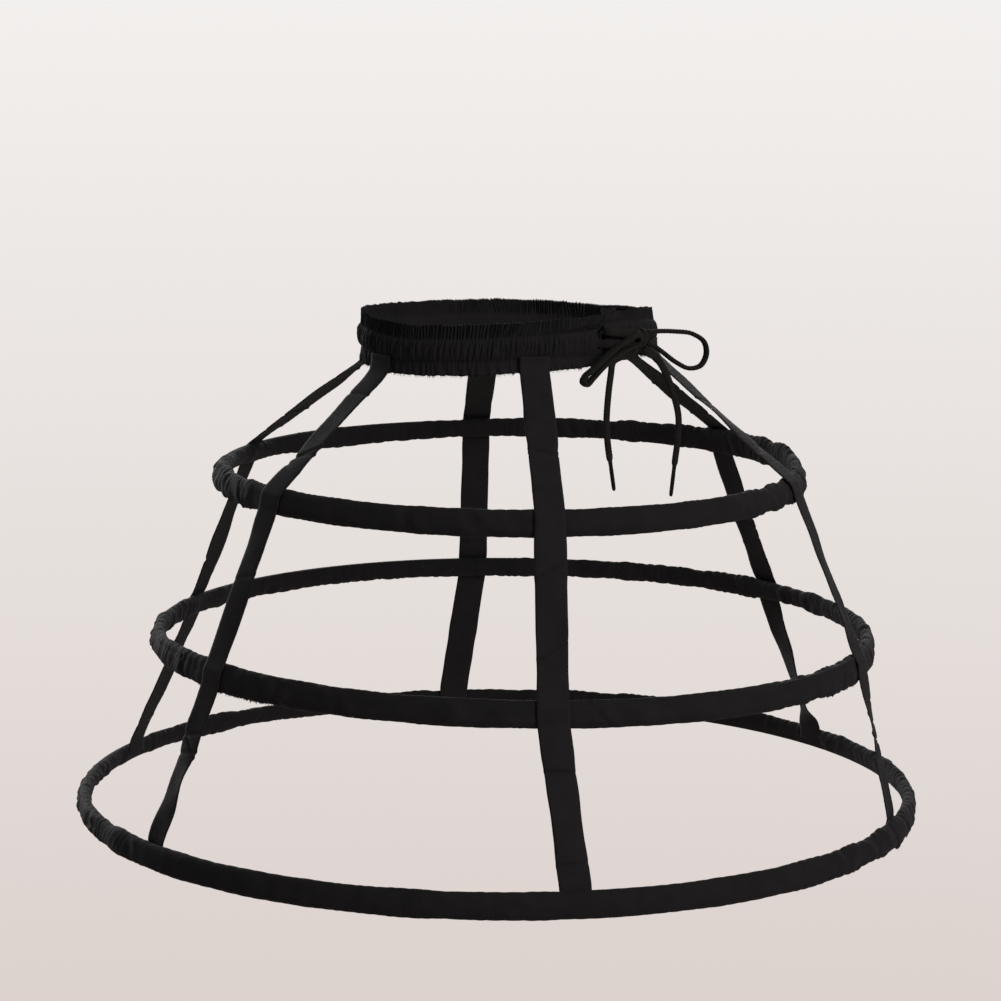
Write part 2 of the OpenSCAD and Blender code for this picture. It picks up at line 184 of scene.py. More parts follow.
def skin(rings, closed=False, caps=True, inward=False):
    """A skin over rings of points, rings[station][corner], with its cloth coordinates in metres."""
    stations, corners, _ = rings.shape
    along = lengths_along(np.concatenate([rings, rings[:1]])[:, 0])
    around = lengths_along(np.concatenate([rings[stations // 2], rings[stations // 2][:1]]))
    i, j = np.meshgrid(np.arange(stations if closed else stations - 1), np.arange(corners), indexing="ij")
    steps = [(i, j), (i + 1, j), (i + 1, j + 1), (i, j + 1)]
    quads = np.stack([a % stations * corners + b % corners for a, b in steps], -1).reshape(-1, 4)
    uvs = np.stack([np.stack([along[a], around[b]], -1) for a, b in steps], -2).reshape(-1, 4, 2) * MM
    points = rings.reshape(-1, 3)
    ends = []
    if caps and not closed:
        ends = [list(range(corners)), list(range(stations * corners - 1, (stations - 1) * corners - 1, -1))]
    a, b, c, d = (points[quads[:, k]] for k in range(4))
    volume = (a * np.cross(b, c)).sum() + (a * np.cross(c, d)).sum()
    if (volume < 0) != inward:
        quads = quads[:, ::-1]
        uvs = uvs[:, ::-1]
        ends = [end[::-1] for end in ends]
    return points, quads, uvs, ends


def new_piece(name, skins, material, replaced=(), weld=False):
    """One mesh made of skins, riding on the part's body in place of the solids that it stands for."""
    first = np.cumsum([0] + [len(s[0]) for s in skins])
    points = np.concatenate([s[0] for s in skins]) * MM
    quads = np.concatenate([s[1] + n for s, n in zip(skins, first)])
    ends = [[v + int(n) for v in end] for s, n in zip(skins, first) for end in s[3]]
    mesh = bpy.data.meshes.new(name)
    mesh.from_pydata(points.tolist(), [], quads.tolist() + ends)
    coordinates = np.zeros((len(mesh.loops), 2))
    coordinates[:quads.size] = np.concatenate([s[2] for s in skins]).reshape(-1, 2)
    mesh.uv_layers.new(name="cloth").data.foreach_set("uv", coordinates.ravel())
    if weld:
        welded = bmesh.new()
        welded.from_mesh(mesh)
        bmesh.ops.remove_doubles(welded, verts=welded.verts, dist=MM / 1000)
        welded.to_mesh(mesh)
        welded.free()
    mesh.shade_smooth()
    mesh.materials.append(material)
    piece = new_object(name, mesh)
    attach(piece, "root")
    if replaced:
        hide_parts(*replaced)
    return piece


def fade_in(x, start, end):
    """0 up to start, 1 from end, smooth between."""
    x = np.clip((x - start) / (end - start), 0, 1)
    return x * x * (3 - 2 * x)


def ring_angles(corners):
    """Angles of the corners round a ring."""
    return np.arange(corners) * 2 * pi / corners


def filled_out(waves, roundness):
    """Sines or cosines that make an oval (1) or, with less roundness, a box with soft corners."""
    return np.sign(waves) * np.abs(waves) ** roundness


def braid_skin(route, along_vector, along_size, square_size, closed=False, taper=0.0):
    """Plaited braid along a route: one size lies along the given vector, the other square to it."""
    neighbours = np.concatenate([route[-1:], route, route[:1]]) if closed else route
    ahead = unit(np.gradient(neighbours, axis=0))
    ahead = ahead[1:-1] if closed else ahead
    side = unit(along_vector - (ahead @ along_vector)[:, None] * ahead)
    square = np.cross(ahead, side)
    a = ring_angles(braid_corners)
    along_side = filled_out(np.cos(a), braid_roundness) * along_size / 2
    along_square = filled_out(np.sin(a), braid_roundness) * square_size / 2
    length = np.linalg.norm(np.diff(route, axis=0), axis=1).sum()
    plaits = np.linspace(0, round(length / plait_length), len(route), endpoint=not closed)[:, None]
    left_strand = np.abs(np.sin(pi * (plaits + plait_strands * a / (2 * pi))))
    right_strand = np.abs(np.sin(pi * (plaits - plait_strands * a / (2 * pi))))
    relief = plait_relief * (np.sqrt(left_strand * right_strand) - plait_mean_share)
    grow = 1 + relief / np.hypot(along_side, along_square)
    grow = grow * (1 - taper * fade_in(lengths_along(route), length - braid_taper, length))[:, None]
    offset = side[:, None] * (along_side * grow)[..., None]
    offset = offset + square[:, None] * (along_square * grow)[..., None]
    return skin(route[:, None] + offset, closed=closed)


def new_material(name):
    """A material with its node tree and its Principled shader."""
    material = bpy.data.materials.new(name)
    material.use_nodes = True
    return material, material.node_tree, material.node_tree.nodes["Principled BSDF"]


def feed(tree, value, socket):
    """Links a socket to another one, or sets it to a number."""
    if isinstance(value, bpy.types.NodeSocket):
        tree.links.new(value, socket)
    else:
        socket.default_value = value


def reckon(tree, operation, *values):
    """A Math node on sockets or numbers, and its result."""
    node = tree.nodes.new("ShaderNodeMath")
    node.operation = operation
    for socket, value in zip(node.inputs, values):
        feed(tree, value, socket)
    return node.outputs[0]


def noise(tree, scale, detail=2.0):
    """Soft spots over a piece, so many to the metre."""
    place = tree.nodes.new("ShaderNodeTexCoord")
    spots = tree.nodes.new("ShaderNodeTexNoise")
    spots.inputs["Detail"].default_value = detail
    feed(tree, scale, spots.inputs["Scale"])
    tree.links.new(place.outputs["Object"], spots.inputs["Vector"])
    return spots.outputs["Fac"]


def cloth_coordinates(tree):
    """Sockets for the place along and across a cloth piece, in metres."""
    place = tree.nodes.new("ShaderNodeUVMap")
    place.uv_map = "cloth"
    split = tree.nodes.new("ShaderNodeSeparateXYZ")
    tree.links.new(place.outputs["UV"], split.inputs[0])
    return split.outputs[0], split.outputs[1]


def tint(tree, share, dark, pale, socket):
    """Colours a socket between two tones by a share that changes over the surface."""
    mix = tree.nodes.new("ShaderNodeMix")
    mix.data_type = "RGBA"
    mix.inputs["A"].default_value = (*dark, 1)
    mix.inputs["B"].default_value = (*pale, 1)
    tree.links.new(share, mix.inputs["Factor"])
    tree.links.new(mix.outputs["Result"], socket)


def raise_surface(tree, shader, height, depth, strength):
    """Bumps the surface by a height, at the given depth in metres."""
    bump = tree.nodes.new("ShaderNodeBump")
    bump.inputs["Distance"].default_value = depth
    bump.inputs["Strength"].default_value = strength
    tree.links.new(height, bump.inputs["Height"])
    tree.links.new(bump.outputs["Normal"], shader.inputs["Normal"])


def new_group(name, inputs, outputs):
    """A node group, with the sockets inside it for what it is given and what it puts out."""
    group = bpy.data.node_groups.new(name, "ShaderNodeTree")
    for socket in inputs:
        group.interface.new_socket(socket, in_out="INPUT", socket_type="NodeSocketFloat")
    for socket in outputs:
        group.interface.new_socket(socket, in_out="OUTPUT", socket_type="NodeSocketFloat")
    given = group.nodes.new("NodeGroupInput").outputs
    result = group.nodes.new("NodeGroupOutput").inputs
    return group, given, result


def place_group(tree, group, values):
    """Places a node group in a material with its own values, and gives what it puts out."""
    node = tree.nodes.new("ShaderNodeGroup")
    node.node_tree = group
    for name, value in values.items():
        feed(tree, value, node.inputs[name])
    return node.outputs


def make_cloth_fade():
    """Dye that has faded unevenly, with specks of lint: shared by every textile of the cage."""
    lint_scale = 900
    lint_threshold = 0.72
    lint_tone = 0.2
    roughness_span = 0.2
    least_roughness = 0.76
    group, given, result = new_group("cloth_fade", ["Patch Size"], ["Tone", "Roughness"])
    patches = noise(group, reckon(group, "DIVIDE", 1.0, given["Patch Size"]), detail=4)
    lint = reckon(group, "GREATER_THAN", noise(group, lint_scale, detail=1), lint_threshold)
    specks = reckon(group, "MULTIPLY", lint, lint_tone)
    group.links.new(reckon(group, "ADD", patches, specks), result["Tone"])
    roughness = reckon(group, "MULTIPLY_ADD", patches, roughness_span, least_roughness)
    group.links.new(roughness, result["Roughness"])
    return group


def make_thread_wave():
    """Threads that lie side by side along a coordinate: shared by every textile of the cage."""
    group, given, result = new_group("thread_wave", ["Place", "Pitch", "Start"], ["Height"])
    turns = reckon(group, "ADD", reckon(group, "DIVIDE", given["Place"], given["Pitch"]), given["Start"])
    group.links.new(reckon(group, "SINE", reckon(group, "MULTIPLY", turns, 2 * pi)), result["Height"])
    return group


cloth_fade = make_cloth_fade()
thread_wave = make_thread_wave()


def fade(tree, shader, patch_size, dark, pale):
    """Places the shared fade in a material, with its own patch size and tones."""
    faded = place_group(tree, cloth_fade, {"Patch Size": patch_size})
    tint(tree, faded["Tone"], dark, pale, shader.inputs["Base Color"])
    tree.links.new(faded["Roughness"], shader.inputs["Roughness"])


def threads(tree, place, pitch, start=0.0):
    """Height of threads a pitch apart in metres, which start a share of a turn on."""
    return place_group(tree, thread_wave, {"Place": place, "Pitch": pitch, "Start": start})["Height"]


def soft_cotton(shader):
    """The faint sheen of cotton fibres."""
    shader.inputs["Sheen Weight"].default_value = 0.015
    shader.inputs["Sheen Roughness"].default_value = 0.3
    shader.inputs["Specular IOR Level"].default_value = 0.05


braid_black, tree, shader = new_material("braid_black")
fade(tree, shader, patch_size=0.006, dark=(0.0043, 0.0037, 0.0035), pale=(0.0118, 0.01, 0.0093))
soft_cotton(shader)
fibre_along, fibre_across = cloth_coordinates(tree)
fibre = threads(tree, reckon(tree, "ADD", fibre_along, fibre_across), pitch=0.00035)
raise_surface(tree, shader, fibre, depth=0.00012, strength=0.3)

knot_place = waist_point(knot_angle, knot_reach, -knot_drop)
run_left_route = [
    [-6, 2, 4], [-14, 1.2, 4.6], [-23, 1, 5.8], [-31, 1.8, 7], [-33.6, 4.2, 7.6],
    [-32.5, 6.9, 8.2], [-29.5, 9.4, 8.8],
]
run_right_route = [
    [-37, 9.8, -1.4], [-33.5, 6.4, -1.6], [-29.5, 2.4, -1.8], [-23, 1, -2.2],
    [-14, 1.2, -2.8], [-6, 2, -3],
]
loop_left_route = [
    [-6, -3.6, 4], [-14, -3.8, 2], [-30, -3, -3.6], [-46, -2.4, -11.6], [-57, -1.8, -17.5],
    [-63, -1, -21], [-65.5, -1, -24.5], [-62, -1, -27.2], [-55.5, -1.2, -23.6], [-47, -1.6, -18],
    [-34, -2.4, -11.2], [-20, -3, -6.6], [-6, -3.6, -3.6],
]
loop_right_route = [
    [5.6, -1.9, 4], [14, -4.4, 4], [28, -9.6, 3], [41, -16, 0.5], [49, -20.4, -6],
    [50.5, -21.2, -14], [46, -19.4, -22.5], [38, -15.4, -24], [29, -11, -19.5],
    [18, -6, -11], [10, -3, -5.4], [5.6, -1.9, -3.4],
]
tail_left_route = [
    [-2.4, 1, -6.9], [-3.4, 1.4, -9.6], [-10, 2.2, -11.6], [-20, 2.3, -11.8], [-28, 2, -14.5],
    [-31, 1.6, -24], [-34.5, 1, -40], [-36.5, 0.4, -56], [-35.5, -0.2, -72], [-32.5, -0.6, -87],
]
tail_right_route = [
    [3, -2, -6.9], [5, -2.4, -9.6], [14, -4, -15], [21, -7, -26], [26, -10, -40],
    [29.5, -13, -58], [29, -13, -76], [26.4, -13, -90], [25.4, -13, -96],
]

channel_share = np.arange(1, channel_points) / channel_points
channel_angle = band_start + (band_end - band_start) * channel_share
channel_route = waist_point(channel_angle, braid_reach, braid_offset * (1 - 2 * channel_share))
run_route = np.concatenate([knot_place + run_left_route, channel_route, knot_place + run_right_route])
run_line = smooth_route(run_route, 2 * braid_step)
run_skin = braid_skin(run_line, np.array([0, 0, 1.0]), braid_width, braid_thickness)
new_piece("drawstring_braid", [run_skin], braid_black, ["drawstring_run"])


def knot_wrap(aside, half_depth, half_height, lean):
    """One turn of braid round the roots of the bow, set aside from the knot's middle and leaning."""
    a = np.linspace(0, 2 * pi, knot_stations, endpoint=False)
    aside = aside + lean * np.sin(a) * half_height
    turn_line = np.stack([aside, half_depth * np.cos(a), half_height * np.sin(a)], -1)
    along_vector = np.array([1.0, 0, -lean])
    return braid_skin(knot_place + turn_line, along_vector, braid_width, braid_thickness, closed=True)


knot_wraps = [
    knot_wrap(aside=1.3, half_depth=4.0, half_height=5.0, lean=0.35),
    knot_wrap(aside=-2.4, half_depth=3.5, half_height=4.3, lean=-0.25),
]
new_piece("bow_knot_wraps", knot_wraps, braid_black, ["bow_knot"])


def new_cord(node, route, vector, along_size, square_size, taper=0.0):
    """A free stretch of the braid from the knot, along the route of its solid."""
    line = smooth_route(knot_place + np.array(route), braid_step)
    cord_skin = braid_skin(line, np.array(vector, float), along_size, square_size, taper=taper)
    piece = new_piece(f"{node}_braid", [cord_skin], braid_black, [node])


new_cord(
    "bow_loop_left", loop_left_route, [0, 1, 0], braid_width, braid_thickness,
)
new_cord(
    "bow_loop_right", loop_right_route, [0.4, 0.9, 0], braid_width, braid_thickness,
)

# Aglets
# Each tail ends in a slim tube of black plastic that is shrunk and crimped on, so the braid can be threaded.
# A moulded seam runs down one side, and the tip is rounded.
aglet_length = 20.0
aglet_radius = 1.5
aglet_sleeve = 3.0
aglet_corners = 24
aglet_seam_height = 0.1
aglet_seam_angle = 0.2
# Its outline: shares of the length from the braid to the tip, and of the radius there
aglet_down = np.array([0, 0.3, 0.8, 2.4, 3.2, 4.0, 4.8, 5.6, 6.4, 8, 11, 14, 17, 18.4, 19.2, 19.7, 20]) / 20
aglet_across = np.array([0.9, 1, 1, 1, 0.9, 1, 0.9, 1, 1, 1, 0.99, 0.97, 0.95, 0.9, 0.78, 0.55, 0.2])
tail_taper = 0.5


def make_surface_grain():
    """Fine spots on a hard surface, paler and rougher: shared by the aglets, steels and ferrules."""
    inputs = ["Scale", "Roughness Span", "Least Roughness"]
    group, given, result = new_group("surface_grain", inputs, ["Tone", "Roughness"])
    spots = noise(group, given["Scale"])
    group.links.new(spots, result["Tone"])
    roughness = reckon(group, "MULTIPLY_ADD", spots, given["Roughness Span"], given["Least Roughness"])
    group.links.new(roughness, result["Roughness"])
    return group


surface_grain = make_surface_grain()


def grain(tree, shader, scale, dark, pale, span, least):
    """Places the shared grain in a material, with its own tones and roughness, and gives its height."""
    values = {"Scale": scale, "Roughness Span": span, "Least Roughness": least}
    grained = place_group(tree, surface_grain, values)
    tint(tree, grained["Tone"], dark, pale, shader.inputs["Base Color"])
    tree.links.new(grained["Roughness"], shader.inputs["Roughness"])
    return grained["Tone"]


def ridge(distance, width, power=2):
    """1 on a line, falling away to nothing over about two widths from it."""
    return np.exp(-((distance / width) ** power))


aglet_plastic, tree, shader = new_material("aglet_plastic")
aglet_dark = (0.003, 0.0026, 0.002)
aglet_pale = (0.008, 0.007, 0.0052)
aglet_grain = grain(tree, shader, scale=700, dark=aglet_dark, pale=aglet_pale, span=0.25, least=0.42)
shader.inputs["Specular IOR Level"].default_value = 0.03
raise_surface(tree, shader, aglet_grain, depth=0.00004, strength=0.3)


def new_aglet(node, route):
    """A crimped tube that carries on from the last stretch of its tail."""
    route = np.array(route)
    ahead = unit(route[-1] - route[-2])
    side = unit(np.cross(ahead, [0, 1.0, 0]))
    square = np.cross(ahead, side)
    a = ring_angles(aglet_corners)
    seam = 1 + aglet_seam_height * ridge(np.minimum(a, 2 * pi - a), aglet_seam_angle)
    ring = (side * np.cos(a)[:, None] + square * np.sin(a)[:, None]) * seam[:, None] * aglet_radius
    start = knot_place + route[-1] - aglet_sleeve * ahead
    middles = start + ahead * (aglet_down * (aglet_length + aglet_sleeve))[:, None, None]
    rings = middles + ring * aglet_across[:, None, None]
    return new_piece(f"{node}_tube", [skin(rings)], aglet_plastic, [node])


aglet_left = new_aglet("aglet_left", tail_left_route)
aglet_right = new_aglet("aglet_right", tail_right_route)
new_cord(
    "tail_left", tail_left_route, [0, 1, 0], braid_thickness, braid_width,
    taper=tail_taper,
)
new_cord(
    "tail_right", tail_right_route, [0, 1, 0], braid_thickness, braid_width,
    taper=tail_taper,
)

# Waistband
# A folded strip of thin black cotton, gathered to the waist and sewn through in two rows of stitches.
# The rows leave a finely pleated heading, the puckered channel that holds the braid, and a raw frill below.
heading_top = 17.0
channel_top = 6.8
channel_bottom = -8.6
frill_edge = -19.0
band_stations = 2300
band_end_fade = 8.0
stitch_line_reach = 3.9
# How far out the heading and the frill lie, how thick they are at the stitches and how much less at the edge
heading_middle = 2.8
heading_thickness = 2.2
heading_thinning = 0.9
frill_middle = 3.0
frill_thickness = 1.9
frill_thinning = 1.1
frill_flare = 1.8
# Mean widths of pleats and puckers, and their depths
heading_pleat = 1.8
heading_pleat_depth = 1.15
heading_pleat_flare = 0.35
fine_pucker = 1.9
coarse_pucker = 3.8
broad_pucker = 9.0
inner_pucker = 3.4
pucker_swell = 3.0
frill_root_pleat = 2.3
frill_root_depth = 0.4
frill_ripple = 5.5
frill_ripple_depth = 1.25
# How far pleats and puckers slant, and how far the raw edges stray up and down
heading_slant = 0.2
pucker_slant = 0.12
heading_stray = 0.5
frill_stray = 0.7
frill_nibble = 0.35
# How far the heading and the frill tuck in at the band's far end, and the heading droops at its loose end
heading_tuck = 2.6
frill_tuck = 2.4
heading_droop = 2.4
tuck_run = 30.0
loose_from = radians(60)
loose_to = radians(15)
# How far the edges lap round the waist at the band's ends, in radians, and over which length
heading_lap = 0.2
start_lap = 0.1
frill_lap = 0.1
start_lap_run = 40.0
end_lap_run = 60.0
# The channel's wall, and the hole in it that the braid runs in
channel_wall = 1.6
inner_face = 0.15
inner_press = 0.35
hole_reach = 3.7
hole_half_depth = 2.2
hole_half_height = 5.9
hole_stations = 120

cotton_thread = 0.0007
black_cotton, tree, shader = new_material("black_cotton")
fade(tree, shader, patch_size=0.02, dark=(0.0042, 0.0037, 0.0039), pale=(0.011, 0.0098, 0.0102))
soft_cotton(shader)
warp, weft = cloth_coordinates(tree)
warp_wave = threads(tree, warp, cotton_thread, start=0.25)
weft_wave = threads(tree, weft, cotton_thread, start=0.25)
plain_weave = reckon(tree, "MULTIPLY", warp_wave, weft_wave)
raise_surface(tree, shader, plain_weave, depth=0.0001, strength=0.18)


def pleats(s, mean_width, seed):
    """Uneven pleats along the cloth: how far each place is across its pleat, and that pleat's size."""
    chance = np.random.default_rng(seed)
    count = int(np.ptp(s) / mean_width * 1.3) + 8
    widths = mean_width * chance.uniform(0.4, 1.6, count)
    edges = s.min() - mean_width + np.concatenate([[0], np.cumsum(widths)])
    number = np.interp(s, edges, np.arange(count + 1))
    sizes = chance.uniform(0.4, 1, count + 1)
    return number % 1, sizes[number.astype(int)]


def puffs(s, mean_width, seed, roundness=0.7):
    """Rounded puckers with sharp creases between them, from 0 to 1."""
    across, size = pleats(s, mean_width, seed)
    return size * np.abs(np.sin(pi * across)) ** roundness


def folds(s, mean_width, seed):
    """Soft folds to and fro, from -1 to 1."""
    across, size = pleats(s, mean_width, seed)
    return size * np.sin(2 * pi * across)


def drift(s, length, seed):
    """A slow uneven swing between -1 and 1."""
    knots = np.random.default_rng(seed).uniform(-1, 1, int(np.ptp(s) / length) + 3)
    place = (s - s.min()) / length
    first = place.astype(int)
    share = fade_in(place - first, 0, 1)
    return knots[first] * (1 - share) + knots[first + 1] * share


band_angle = np.linspace(band_start, band_end, band_stations)
band_run = lengths_along(waist_point(band_angle, 0, 0))
held_ends = fade_in(np.minimum(band_run, band_run[-1] - band_run), 0, band_end_fade)
loose_end = 1 - fade_in(band_angle, loose_to, loose_from)
lapped_start = 1 - fade_in(band_run, 0, start_lap_run)
lapped_end = fade_in(band_run, band_run[-1] - end_lap_run, band_run[-1])
tucked_end = fade_in(band_run, band_run[-1] - tuck_run, band_run[-1])


def heading_row(height, side):
    """A row of the heading, on its outer side (1) or inner side (-1)."""
    share = (height - channel_top) / (heading_top - channel_top)
    lean = heading_slant * drift(band_run, 16, 21) * (height - channel_top)
    fold = folds(band_run + lean, heading_pleat, 22) * held_ends * (1 - 0.55 * loose_end)
    thickness = heading_thickness - heading_thinning * share
    depth = heading_pleat_depth + heading_pleat_flare * share
    out = heading_middle + side * thickness / 2 + fold * depth
    out = out - share * (0.4 * pinch(band_angle) + heading_tuck * tucked_end)
    stray = heading_stray * fold + heading_stray * drift(band_run, 5, 23)
    up = height + share * (stray - heading_droop * loose_end)
    return out, up


def channel_row(height):
    """A row of the channel's puckered outer face."""
    share = (2 * height - channel_top - channel_bottom) / (channel_top - channel_bottom)
    lean = pucker_slant * drift(band_run, 7, 31) * height
    fine = puffs(band_run + lean, fine_pucker, 32)
    coarse = puffs(band_run + lean, coarse_pucker, 33, 0.6)
    broad = puffs(band_run - lean, broad_pucker, 34)
    middle = 1 - share * share
    puff = (coarse + (fine - coarse) * 0.65 * abs(share)) * (0.7 + 0.3 * fine)
    puff = puff + (broad - puff) * loose_end * 0.6
    swell = (1 - abs(share) ** 2.4) ** 0.55
    base = stitch_line_reach + (band_depth - channel_wall - stitch_line_reach) * swell
    out = base + pucker_swell * (puff * held_ends - 0.1) * (0.35 + 0.65 * middle)
    return out, height + 0 * band_run


def frill_row(height, side):
    """A row of the frill, on its outer side (1) or inner side (-1)."""
    share = (channel_bottom - height) / (channel_bottom - frill_edge)
    root = folds(band_run, frill_root_pleat, 32)
    ripple = folds(band_run + 1.5 * share * drift(band_run, 15, 41), frill_ripple, 42)
    fold = (frill_root_depth * root * (1 - share) + frill_ripple_depth * ripple * share) * held_ends
    thickness = frill_thickness - frill_thinning * share
    out = frill_middle + frill_flare * share + side * thickness / 2 + fold - frill_tuck * share * tucked_end
    up = height + share * (frill_stray * drift(band_run, 7, 43) + frill_nibble * drift(band_run, 1.5, 44))
    return out, up


def inner_row(height):
    """A row of the channel's inner face, which lies against the waist."""
    press = puffs(band_run + 0.3 * height, inner_pucker, 51) * held_ends
    out = inner_face + inner_press * press + 0.3 * (abs(height) / 8) ** 3
    return out, height + 0 * band_run


heading_heights = np.linspace(heading_top, channel_top + 0.4, 8)
channel_turn = np.linspace(0.13 * pi, 0.87 * pi, 11)
channel_heights = np.interp(np.cos(channel_turn), [-1, 1], [channel_bottom, channel_top])
frill_heights = np.linspace(channel_bottom - 0.4, frill_edge, 7)
inner_heights = np.linspace(-7, 5.4, 4)
upper_seam = len(heading_heights) - 1
lower_seam = len(heading_heights) + len(channel_heights)
frill_tip = lower_seam + len(frill_heights) - 1
band_rows = [heading_row(h, 1) for h in heading_heights]
band_rows += [channel_row(h) for h in channel_heights]
band_rows += [frill_row(h, 1) for h in frill_heights]
band_rows += [frill_row(h, -1) for h in frill_heights[::-2]]
band_rows += [inner_row(h) for h in inner_heights]
band_rows += [heading_row(h, -1) for h in heading_heights[::-2]]
band_out = np.stack([row[0] for row in band_rows], -1)
band_up = np.stack([row[1] for row in band_rows], -1)
lap = (heading_lap * lapped_end + start_lap * lapped_start)[:, None] * fade_in(band_up - channel_top, 0.6, 3)
lap = lap + frill_lap * lapped_end[:, None] * fade_in(channel_bottom - band_up, 0.6, 3)
band_rings = waist_point(band_angle[:, None] + lap, band_out, band_up)

hole_turn = np.linspace(0.58 * pi, -1.38 * pi, len(band_rows))
hole_angle = np.linspace(band_start, band_end, hole_stations)[:, None]
hole_out = hole_reach + hole_half_depth * np.cos(hole_turn)
hole_rings = waist_point(hole_angle, hole_out, hole_half_height * np.sin(hole_turn))
band_skins = [
    skin(band_rings, caps=False),
    skin(hole_rings, caps=False, inward=True),
    skin(np.stack([hole_rings[0], band_rings[0]]), caps=False),
    skin(np.stack([hole_rings[-1], band_rings[-1]]), caps=False),
]
waistband = new_piece("waistband_cloth", band_skins, black_cotton, ["waistband"], weld=True)

# Stitching of the waistband
# Two rows of black cotton thread hold the gathers, one under the heading and one above the frill.
# Each stitch dips into the cloth at both ends.
thread_thickness = 0.5
thread_corners = 5
stitch_length = 2.1
stitch_pitch = 2.9
# How far the rows keep from the band's two ends
first_stitch = 4.0
last_stitch = 6.0

sewing_thread, tree, shader = new_material("sewing_thread")
fade(tree, shader, patch_size=0.004, dark=(0.006, 0.0055, 0.006), pale=(0.015, 0.0135, 0.014))
shader.inputs["Specular IOR Level"].default_value = 0.1
ply_along, ply_across = cloth_coordinates(tree)
ply = threads(tree, reckon(tree, "ADD", ply_along, ply_across), pitch=0.0003)
raise_surface(tree, shader, ply, depth=0.00008, strength=0.6)


def stitch_skin(start, end, out):
    """One stitch from start to end, bulging out of the cloth between them."""
    share = np.array([0, 0.18, 0.5, 0.82, 1])[:, None]
    lift = np.array([-0.35, 0.1, 0.18, 0.1, -0.35])[:, None]
    size = np.array([0.35, 0.95, 1, 0.95, 0.35])[:, None, None] * thread_thickness / 2
    line = start + (end - start) * share + out * lift
    square = unit(np.cross(end - start, out))
    a = ring_angles(thread_corners)
    ring = square * np.cos(a)[:, None] + out * np.sin(a)[:, None]
    return skin(line[:, None] + ring * size)


def band_stitches(row):
    """A row of stitches along one row of the band's outer face."""
    places = np.arange(first_stitch, band_run[-1] - last_stitch, stitch_pitch)
    line = band_rings[:, row]
    centre = waist_point(band_angle, 0, band_up[:, row])
    made = []
    for place in places:
        i, j = np.searchsorted(band_run, [place, place + stitch_length])
        made.append(stitch_skin(line[i], line[j], unit(line[i] - centre[i])))
    return made


stitches = band_stitches(upper_seam) + band_stitches(lower_seam)
new_piece("waistband_stitches", stitches, sewing_thread)

# Fray of the frill
# The frill's lower edge is cut and left raw, so short cotton fibres stand out of it.
# They start a little way up inside the cloth and bend as they like.
fray_count = 1500
fray_thickness = 0.16
fray_corners = 3
fray_root = np.array([0, 0, 0.3])


def fray_skin(root, tip, bend, thickness=fray_thickness):
    """One fibre, bent and tapering."""
    share = np.array([0, 0.5, 1])[:, None]
    line = root + (tip - root) * share + bend * np.array([0, 1, 0])[:, None]
    a = ring_angles(fray_corners)
    side = unit(np.cross(tip - root, [0.3, 0.5, 0.2]))
    square = unit(np.cross(tip - root, side))
    ring = (side * np.cos(a)[:, None] + square * np.sin(a)[:, None]) * thickness / 2
    return skin(line[:, None] + ring * np.array([1, 0.8, 0.3])[:, None, None])


chance = np.random.default_rng(61)
fray = []
for place in chance.uniform(0, 1, fray_count):
    i = int(place * (band_stations - 1))
    outer, inner = band_rings[i, frill_tip], band_rings[i, frill_tip + 1]
    root = (outer + inner) / 2 + fray_root
    outward = unit(outer - inner)
    spread = outward * chance.normal(0.1, 0.35) + np.cross(outward, [0, 0, 1]) * chance.normal(0, 0.45)
    tip = root + (spread - [0, 0, 1]) * chance.uniform(0.8, 2.4)
    fray.append(fray_skin(root, tip, chance.normal(0, 0.15, 3)))
new_piece("frill_fray", fray, black_cotton)

# Hoop steels and ferrules
# Each hoop is a flat strip of sprung steel whose ends meet at the wearer's back in a crimped brass ferrule.
# They are hidden in their casings and keep the solids' own shapes.
hoop_steel, tree, shader = new_material("hoop_steel")
shader.inputs["Metallic"].default_value = 1
steel_dark = (0.48, 0.49, 0.51)
steel_pale = (0.7, 0.71, 0.72)
grain(tree, shader, scale=400, dark=steel_dark, pale=steel_pale, span=0.3, least=0.25)

ferrule_brass, tree, shader = new_material("ferrule_brass")
shader.inputs["Metallic"].default_value = 1
brass_tarnished = (0.35, 0.27, 0.12)
brass_bright = (0.75, 0.62, 0.34)
grain(tree, shader, scale=250, dark=brass_tarnished, pale=brass_bright, span=0.4, least=0.2)

# Radius of each hoop and its middle: the lower two hang a little aside
hoops = {
    "top": (210.0, np.array([0, 0, -102.0])),
    "middle": (260.0, np.array([2.3, -2.8, -222.0])),
    "bottom": (304.0, np.array([-4.6, 5.5, -342.0])),
}
for name in hoops:
    for node, material in ((f"steel_{name}", hoop_steel), (f"ferrule_{name}", ferrule_brass)):
        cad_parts[node].data.materials.clear()
        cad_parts[node].data.materials.append(material)

# Hoop casings
# A long strip of the same black cotton is folded round each steel and sewn shut along its lower edge.
# The strip is longer than its hoop, so it puckers: little across the front, much at the sides and back.
casing_half_height = 9.0
casing_half_depth = 4.25
casing_roundness = 0.85
casing_corners = 36
casing_stations = 1400
casing_end_fade = 12.0
# The casing's inside, round the steel
lining_half_height = 5.4
lining_half_depth = 2.7
lining_roundness = 0.7
lining_corners = 20
lining_stations = 180
# Corner of a casing's section at which its lower seam is sewn, and its lowest corner
seam_corner = 31
lowest_corner = 27
# Directions of each tape at the waistband, the top hoop, the middle hoop and the bottom hoop, in degrees
tape_angles = {
    "right_front": (-42, -42.75, -44.25, -39.75),
    "left_front": (34, 21.5, 19.5, 20.75),
    "left_side": (83, 81, 81.25, 74.5),
    "left_back": (139, 137, 137, 137),
    "right_back": (209, 195, 196.25, 198.75),
    "right_side": (262, 259.25, 258, 257.75),
}
# A tape holds the cloth flat over this much to each side of its middle, to this share
tape_hold = 15.0
tape_hold_share = 0.85
